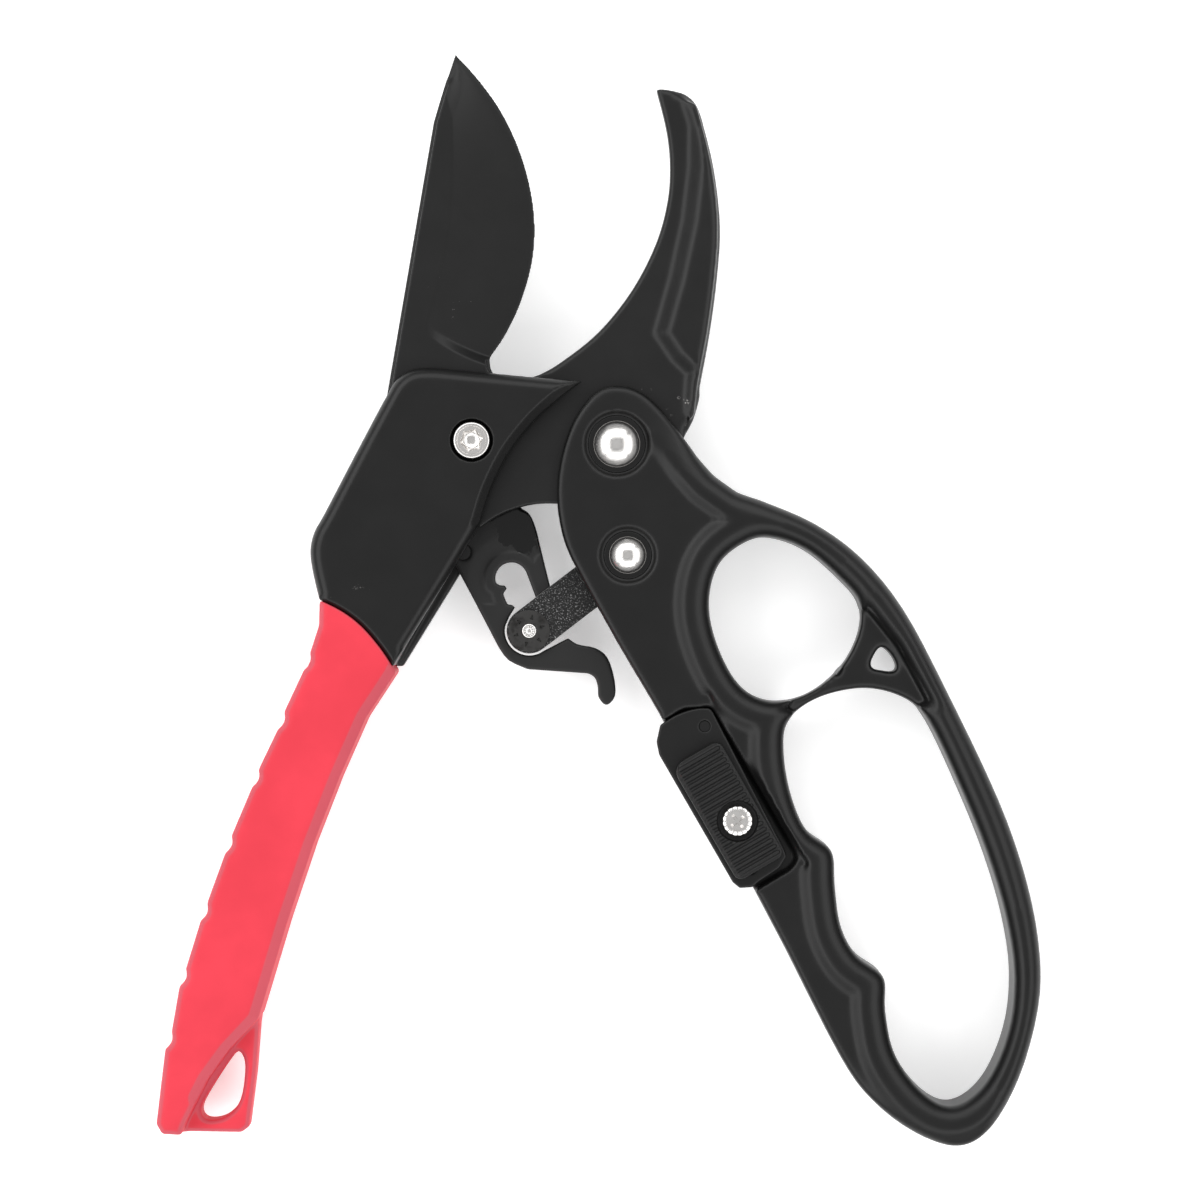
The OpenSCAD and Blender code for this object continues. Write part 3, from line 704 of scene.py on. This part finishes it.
def grip_piece():
    """Red moulded grip: notched and softly rounded on the left, bevelled on the right, thin at the tab."""
    outline = section("grip_sleeve", front_z / 2)
    outside = section("grip_sleeve", 3.0)
    outside = outside[distance_to(outside, section("fixed_handle", 3.5)) > 0.7]
    axis_x = -22 + (outside[:, 1] + 37) * 0.34
    left, right = outside[outside[:, 0] < axis_x], outside[outside[:, 0] >= axis_x]
    low, high = 0.0, front_z
    tab_high, tab_low = front_z - 5, 5.0
    step, tab_radius, left_radius = 2.2, 1.4, 1.7
    bevel_width, bevel_slope = 2.0, 0.8

    def edge(points):
        bevel = np.clip(bevel_width - distance_to(points, right), 0, None) * bevel_slope
        return np.maximum(edge_drop(distance_to(points, left), left_radius), bevel)

    def shape(points):
        tops = surface_height("grip_sleeve", points, reach=0.8)
        bottoms = surface_height("grip_sleeve", points, top=False, reach=0.8)
        points = round_over(points, tops, tab_high, tab_radius, outline)
        points = round_over(points, bottoms, tab_low, tab_radius, outline, top=False)
        front = (tops > high - step) & (points[:, 2] > high - step)
        back = (bottoms < low + step) & (points[:, 2] < low + step)
        points[front, 2] = high - edge(points[front])
        points[back, 2] = low + edge(points[back])
        return points

    show("grip", skin("grip_sleeve", 0.28, 3, shape), "grip_sleeve")


def ratchet_plate_piece():
    """Stamped plate with a painted-over raised band round the slot."""
    top = high_mm("ratchet_plate")[2]
    outline = section("ratchet_plate", top - 1)
    slot_centre, slot_reach, slot_left_x = np.array([7.5, -27.5]), 7.5, 3.6
    slot = outline[~far_from(outline, slot_centre, slot_reach) & (outline[:, 0] > slot_left_x)]
    band_start, band_end, band_deep, pin_side_y = 1.8, 5.2, 0.25, -31

    def shape(points):
        heights = np.full(len(points), top)
        points = round_over(points, heights, top, 0.5, outline)
        from_slot = distance_to(points, slot)
        band = np.clip((from_slot - band_start) / 0.5, 0, 1) * np.clip((band_end - from_slot) / 2.0, 0, 1)
        hollow = band * (points[:, 1] > pin_side_y) * (points[:, 2] > top - 0.8)
        points[:, 2] -= band_deep * hollow
        return points

    show("ratchet_plate_painted", skin("ratchet_plate", 0.2, 4, shape), "ratchet_plate")


def pivot_screw_piece():
    """Hex-socket button screw."""
    top = high_mm("pivot_screw")[2]
    bottom = low_mm("pivot_screw")[2]
    head_low, shank, head, dish = front_z - 2.1, 2.95, 3.5, 0.18
    socket_r, socket_deep, socket_turn = 2.3, 1.5, 12
    profile = [(0, bottom), (shank - 0.4, bottom), (shank, bottom + 0.4), (shank, head_low),
               (head - 0.2, head_low), (head, head_low + 0.3), (head, top - 0.55)]
    profile += arc_profile((head - 0.45, top - 0.5), 0.45, 5, 90)
    profile += [(2.75, top), (2.6, top - dish), (0, top - dish)]
    body = lathe(profile, main_pivot)
    hexagon = [main_pivot + socket_r * np.array([math.cos(a), math.sin(a)])
               for a in (math.radians(60 * k + socket_turn) for k in range(6))]
    body = cut(body, prism(hexagon, top - socket_deep, top - 0.1, 0.72))
    drill_point = [(0, top - 2.2), (1.35, top - 1.6), (1.3, top - 1.2), (0, top - 1.2)]
    body = cut(body, lathe(drill_point, main_pivot, 48))
    show("pivot_screw_head", body, "pivot_screw", sharp=30)


# ---------------------------------------------------------------- hook

def hook_piece():
    """Forged hook: flat web with a thin rounded lip, and a broad soft-sided rib down the back."""
    low, rib_top = low_mm("hook")[2], high_mm("hook")[2]
    web_outline = section("hook", web_z - 1)
    rib_outline = section("hook", web_z + 0.3)
    rib_inner = rib_outline[distance_to(rib_outline, web_outline) > 1.2]
    lip = web_outline[(web_outline[:, 1] > 13.5) & (web_outline[:, 0] < 38.2)]
    back = web_outline[(web_outline[:, 0] > 39) & (web_outline[:, 1] > 2)]
    flank, toe, boss_r = 4.4, 1.5, 12.6
    back_radius, lip_radius, low_lip_radius = 2.0, 0.9, 0.8

    def shape(points):
        on_rib = surface_height("hook", points, reach=0) > web_z + 0.3
        inside = np.where(on_rib, 1, -1) * distance_to(points, rib_inner)
        top = web_z + (rib_top - web_z) * smooth((inside + toe) / flank)
        top = top - edge_drop(distance_to(points, back), back_radius)
        top = top - edge_drop(distance_to(points, lip), lip_radius) * 0.9
        upper = (points[:, 2] > web_z - 0.8) & far_from(points[:, :2], main_pivot, boss_r)
        points[upper, 2] = np.maximum(top[upper], web_z - 2.0)
        lower = points[:, 2] < low + 1
        rise = edge_drop(distance_to(points[lower], lip), low_lip_radius)
        points[lower, 2] = np.maximum(points[lower, 2], low + rise)
        return points

    show("hook_forged", skin("hook", 0.24, 12, shape), "hook")


# ---------------------------------------------------------------- loop handle

def loop_handle_piece():
    """Cast loop handle: flat forked panel, and a soft bead round the openings and the outer right edge."""
    outer, inner = loops("loop_handle", panel_z - 1.4)[:2]
    outer = outer[~in_lock_well(outer)]
    ear_top_x, ear_top_y, lean = 27.5, 11, 0.445
    dividing_x = ear_top_x + (ear_top_y - outer[:, 1]) * lean
    left_rim, right_rim = outer[outer[:, 0] < dividing_x], outer[outer[:, 0] >= dividing_x]
    back_rims = section("loop_handle", 1.9)
    back_rims = back_rims[far_from(back_rims, handle_pivot, 6) & far_from(back_rims, link_pivot, 5)]
    bead, flank, bead_depth = 4.1, 3.2, 0.72
    left_radius, right_radius = 1.0, 1.2

    def crest(points):
        from_inner, from_right = distance_to(points, inner), distance_to(points, right_rim)
        begun = smooth((9 - points[:, 1]) / 19) * smooth((points[:, 1] + 135) / 13)
        rise = np.maximum(smooth((bead + flank - from_inner) / flank),
                          begun * smooth((bead + flank - from_right) / flank))
        fall = bead_depth * np.maximum(edge_drop(from_inner, bead), begun * edge_drop(from_right, bead + 0.4))
        fall = np.maximum(fall, edge_drop(distance_to(points, left_rim), left_radius))
        fall = np.maximum(fall, edge_drop(from_right, right_radius))
        return panel_z + (rim_z - panel_z) * rise - fall

    def shape(points):
        bottoms = surface_height("loop_handle", points, top=False)
        upper = (points[:, 2] > panel_z - 3.2) & ~in_lock_well(points[:, :2])
        upper &= far_from(points[:, :2], handle_pivot, 6.2) & far_from(points[:, :2], link_pivot, 5.4)
        top = crest(points[upper])
        surface = points[upper, 2] > panel_z - 0.5
        points[upper, 2] = np.where(surface, top, np.minimum(points[upper, 2], top))
        points = round_over(points, bottoms, 0.0, 3.2, back_rims, top=False)
        return round_over(points, bottoms, 1.0, 0.8, back_rims, top=False)

    def weight(points):
        kept_crisp = in_lock_well(points[:, :2]) | ~far_from(points[:, :2], handle_pivot, 7)
        return np.where(kept_crisp | ~far_from(points[:, :2], link_pivot, 6), 0.22, 0.8)

    show("loop_handle_cast", skin("loop_handle", 0.38, 16, shape, weight), "loop_handle")


def rivet_piece(name, node, dome_r, shank):
    """A domed rivet with its flatter head behind."""
    at = middle_mm(node)[:2]
    bottom, top = low_mm(node)[2], high_mm(node)[2]
    base = panel_z - 1.05 + 0.35
    rise = top - base
    sphere = (dome_r ** 2 + rise ** 2) / (2 * rise)
    span = math.degrees(math.asin(dome_r / sphere))
    dome = arc_profile((0, top - sphere), sphere, 90 - span, 90, 22)
    dome[-1] = (0, top)
    profile = [(0, bottom), (shank + 0.8, bottom), (shank + 1.2, bottom + 0.3), (shank + 1.15, bottom + 0.6),
               (shank, bottom + 0.6), (shank, base), (dome_r - 0.08, base), (dome_r, base + 0.06)] + dome
    show(name, lathe(profile, at, 128), node, sharp=40)


def washers_piece(name, node, inner, outer):
    """The black washers under both heads."""
    at = middle_mm(node)[:2]
    top = high_mm(node)[2]
    bottom = low_mm(node)[2]
    front = hoop(ring_profile(inner, outer, top - 0.35, top, 0.14), at)
    back = hoop(ring_profile(inner, outer, bottom, bottom + 0.4, 0.14), at)
    bm = bmesh.new()
    bm.from_mesh(front)
    bm.from_mesh(back)
    bm.to_mesh(front)
    bm.free()
    show(name, front, node)


# ---------------------------------------------------------------- lock

def lock_base_piece():
    show("lock_saddle", skin("lock_base", 0.2, 5), "lock_base")


def lock_pad_piece():
    """Thumb pad with its cross ridges rounded and its ends eased."""
    top = high_mm("lock_pad")[2]
    outline = section("lock_pad", top - 1.4)
    outline = outline[far_from(outline, screw_at, 4.2)]

    def shape(points):
        heights = np.full(len(points), top)
        return round_over(points, heights, top, 0.9, outline)

    show("lock_thumb_pad", skin("lock_pad", 0.15, 3, shape), "lock_pad")


def lock_screw_piece():
    """Cross-recess pan screw with a serrated rim."""
    top = high_mm("lock_screw")[2]
    bottom = low_mm("lock_screw")[2]
    head, shank = 3.1, 1.5
    seat = top - 1.5
    arm_length, arm_half_width = 1.75, 0.36
    teeth, tooth_deep, tooth_zone = 16, 0.045, 0.7
    profile = [(0, bottom), (shank - 0.2, bottom), (shank, bottom + 0.3), (shank, seat), (head - 0.1, seat),
               (head, seat + 0.2)]
    profile += arc_profile((head - 0.9, seat + 0.55), 0.9, 0, 60) + [(1.6, top - 0.03), (0, top)]
    body = lathe(profile, screw_at)
    for turn in (38, 128):
        way = np.array([math.cos(math.radians(turn)), math.sin(math.radians(turn))])
        side = np.array([-way[1], way[0]])
        corners = ((-arm_length, -arm_half_width), (arm_length, -arm_half_width),
                   (arm_length, arm_half_width), (-arm_length, arm_half_width))
        arm = [screw_at + way * x + side * y for x, y in corners]
        body = cut(body, prism(arm, top - 1.3, top + 0.6, 0.6))
    points = coordinates(body)
    spoke = points[:, :2] - screw_at
    reach = np.linalg.norm(spoke, axis=1)
    rim = (reach > head - tooth_zone) & (points[:, 2] > seat)
    tooth = 0.5 + 0.5 * np.cos(teeth * np.arctan2(spoke[:, 1], spoke[:, 0]))
    shrink = 1 - tooth_deep * tooth * rim * (reach - head + tooth_zone) / tooth_zone
    points[:, :2] = screw_at + spoke * shrink[:, None]
    set_coordinates(body, points)
    show("lock_screw_head", body, "lock_screw", sharp=30)


# ---------------------------------------------------------------- link

def link_piece(name, node):
    show(name, skin(node, 0.17, 3), node)


def pin_disc_piece():
    """Dark washer held by six stakes round the pin."""
    top = high_mm("pin_disc")[2]
    bottom = low_mm("pin_disc")[2]
    profile = ring_profile(1.42, 3.98, bottom, top, 0.12)
    body = hoop(profile, pin_at)
    for k in range(6):
        a = math.radians(60 * k + 18)
        way = np.array([math.cos(a), math.sin(a)])
        side = np.array([-way[1], way[0]])
        mark = [pin_at + way * x + side * y for x, y in ((2.1, -0.42), (3.2, -0.1), (3.2, 0.1), (2.1, 0.42))]
        body = cut(body, prism(mark, top - 0.32, top + 0.3, 0.55))
    show("pin_washer", body, "pin_disc", sharp=35)


def ratchet_pin_piece():
    """The pin, with its end upset into a rough bright button."""
    top = high_mm("ratchet_pin")[2]
    bottom = low_mm("ratchet_pin")[2]
    profile = [(0, bottom), (1.2, bottom), (1.4, bottom + 0.2), (1.4, top - 0.2), (1.3, top - 0.05),
               (1.05, top), (0.9, top - 0.06), (0.62, top - 0.09), (0.5, top - 0.02), (0, top)]
    mesh = lathe(profile, pin_at, 48)
    points = coordinates(mesh)
    end = points[:, 2] > top - 0.3
    around = np.arctan2(points[:, 1] - pin_at[1], points[:, 0] - pin_at[0])
    points[end, 2] -= 0.06 * (1 + np.sin(6 * around[end] + 0.6) * np.cos(11 * around[end]))
    set_coordinates(mesh, points)
    show("ratchet_pin_end", mesh, "ratchet_pin")


# ---------------------------------------------------------------- springs

def spring_piece(name, node, centre, radius, diameter, turns, leg_ends):
    """A wound torsion spring with a straight leg at each end."""
    bottom = low_mm(node)[2] + diameter / 2
    climb = (high_mm(node)[2] - low_mm(node)[2] - diameter) / turns
    steps = int(28 * turns)
    start = math.radians(leg_ends[0])
    coil = []
    for t in np.linspace(0, turns, steps):
        a = start + 2 * math.pi * t
        coil.append((centre[0] + radius * math.cos(a), centre[1] + radius * math.sin(a), bottom + climb * t))
    last = start + 2 * math.pi * turns
    out = leg_ends[1]
    first_leg = (coil[0][0] + out * math.sin(start), coil[0][1] - out * math.cos(start), coil[0][2])
    last_leg = (coil[-1][0] - out * math.sin(last), coil[-1][1] + out * math.cos(last), coil[-1][2])
    show(name, wire([first_leg] + coil + [last_leg], diameter), node)


# ---------------------------------------------------------------- everything

fixed_handle_piece()
blade_piece()
grip_piece()
ratchet_plate_piece()
pivot_screw_piece()
hook_piece()
loop_handle_piece()
rivet_piece("handle_rivet", "main_rivet", 4.4, 3.0)
rivet_piece("link_rivet_head", "link_rivet", 3.5, 2.0)
washers_piece("handle_rivet_washers", "main_rivet_washers", 3.05, 5.4)
washers_piece("link_rivet_rings", "link_rivet_washers", 2.05, 4.5)
lock_base_piece()
lock_pad_piece()
lock_screw_piece()
link_piece("link_plate_front", "link_front")
link_piece("link_plate_back", "link_back")
pin_disc_piece()
ratchet_pin_piece()
spring_piece("main_coil", "main_spring", handle_pivot, 6.2, 1.15, 3, (180, 5.5))
spring_piece("link_coil", "link_spring", link_pivot, 3.2, 0.76, 3, (0, 2.4))

KEPT_BEVELS = {"pivot_nut": 0.4, "thrust_washer": 0.12, "blade_dowels": 0.2, "ratchet_rivets": 0.05,
               "pivot_bush": 0.12, "hook_spring_peg": 0.2, "spring_spool": 0.2, "lock_base_pins": 0.04,
               "lock_detent_ball": 0.0, "lock_catch": 0.2, "link_bush": 0.12}

for kept, width in KEPT_BEVELS.items():
    piece = frame["nodes"][kept]
    piece.data.materials.clear()
    piece.data.materials.append(MATERIALS["bright_nickel" if kept == "pivot_nut" else SLOT[kept]])
    if width:
        bevel = piece.modifiers.new("eased edges", "BEVEL")
        bevel.width = width * MM
        bevel.segments = 2
        bevel.limit_method = "ANGLE"
        bevel.angle_limit = math.radians(40)


# ---------------------------------------------------------------- floor, light and camera

def floor():
    bpy.ops.mesh.primitive_plane_add(size=6, location=(0, 0, -0.0006))
    plane = bpy.context.object
    plane.name = "floor"
    plane.data.materials.append(pale_floor())
    plane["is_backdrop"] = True


def softbox(name, bearing, tilt, distance, size, radiance):
    """A rectangular area light aimed at the tool from a bearing round it and a height angle."""
    data = bpy.data.lights.new(name, "AREA")
    data.shape = "RECTANGLE"
    data.size, data.size_y = size
    data.energy = radiance * math.pi * size[0] * size[1]
    light = bpy.data.objects.new(name, data)
    bpy.context.scene.collection.objects.link(light)
    a, b = math.radians(bearing), math.radians(tilt)
    way = Vector((math.cos(a) * math.cos(b), math.sin(a) * math.cos(b), math.sin(b)))
    target = Vector((0.024, -0.03, 0))
    light.location = target + way * distance
    light.rotation_euler = way.to_track_quat("Z", "Y").to_euler()


def studio():
    """A pale room: four tall soft walls of light round the tool, and a faint one above."""
    world = bpy.data.worlds.new("studio")
    world.use_nodes = True
    world.node_tree.nodes["Background"].inputs[0].default_value = (1, 1, 1, 1)
    world.node_tree.nodes["Background"].inputs[1].default_value = 0.38
    bpy.context.scene.world = world
    bpy.context.scene.view_settings.view_transform = "Standard"
    softbox("overhead", 90, 89, 1.3, (0.9, 0.9), 0.25)
    wall_tilt, wall_height = 43, 0.62
    for name, bearing, length, radiance in (("north_wall", 95, 1.5, 2.1), ("west_wall", 180, 1.3, 2.35),
                                            ("east_wall", 0, 1.3, 1.75), ("south_wall", 270, 1.5, 1.7)):
        softbox(name, bearing, wall_tilt, 1.0, (length, wall_height), radiance)


def camera():
    """Looks straight down on the front of the open tool."""
    data = bpy.data.cameras.new("camera")
    height, plane_z, span = 0.75, 0.013, 0.228
    data.sensor_width = 36
    data.lens = 36 * (height - plane_z) / span
    eye = bpy.data.objects.new("camera", data)
    eye.location = (0.0243, -0.0302, height)
    bpy.context.scene.collection.objects.link(eye)
    bpy.context.scene.camera = eye


floor()
studio()
camera()

visual_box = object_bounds()
boxes = {"cad": cad_box, "visual": visual_box}
{name: [list(corner) for corner in box] for name, box in boxes.items()}
